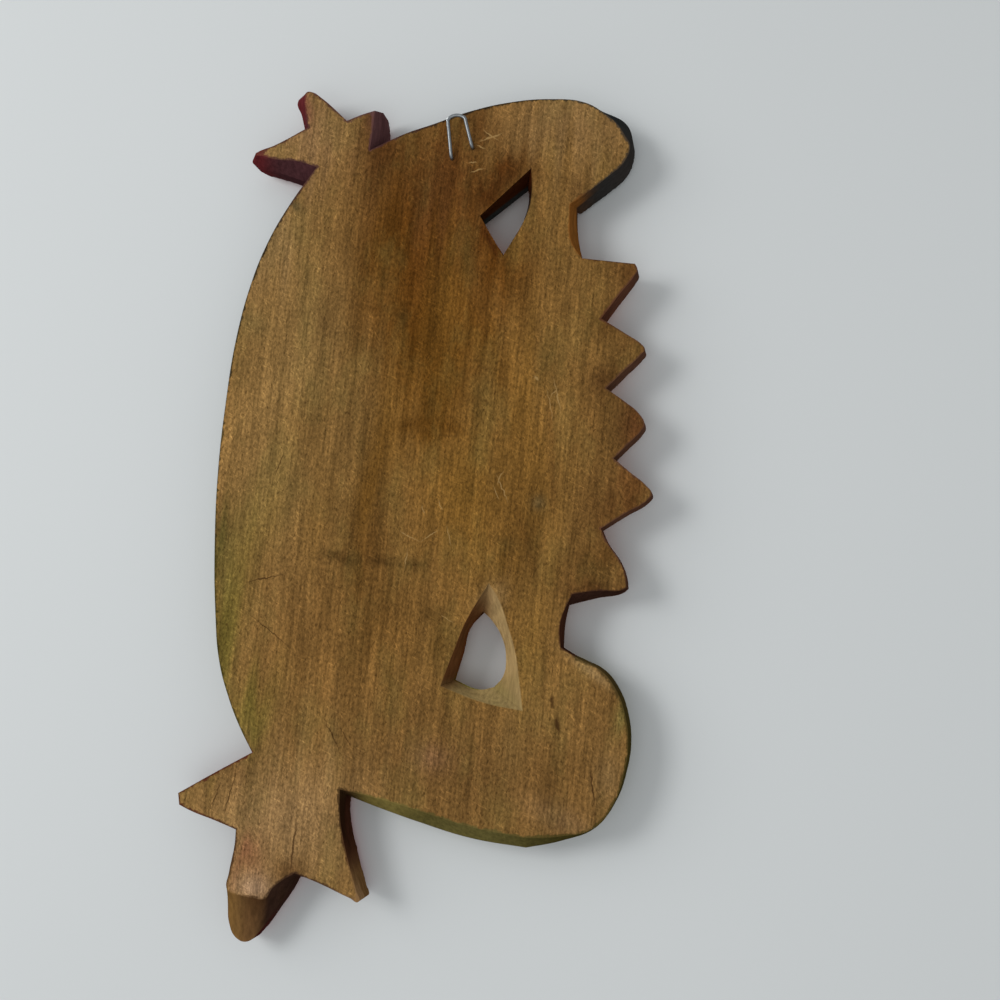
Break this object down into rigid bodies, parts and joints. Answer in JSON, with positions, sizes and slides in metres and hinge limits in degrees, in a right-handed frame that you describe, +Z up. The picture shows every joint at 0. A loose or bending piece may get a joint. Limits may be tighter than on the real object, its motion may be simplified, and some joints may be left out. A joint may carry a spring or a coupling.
{
  "type": "carved wall plaque",
  "caption": "Folk-carved wooden wall plaque: a rayed sun inside a crescent moon with stars, hung by a bent wire staple on its flat back.",
  "frame": {"origin": "the point under the crown of the hanger staple that bears on the nail, in the middle of the wire loop", "axes": "+Z up as the plaque hangs, the carved front faces -Y, the flat back faces +Y towards the wall, +X to the right seen from the front"},
  "size_m": [0.1622, 0.0221, 0.3122],
  "materials": {
    "carved_wood": "oiled bare wood on the back, worn paint on the edges and the carved front",
    "staple_wire": "galvanised wire"
  },
  "bodies": {
    "root": {"carved_board": "carved_wood", "hanger_staple": "staple_wire"}
  },
  "joints": []
}
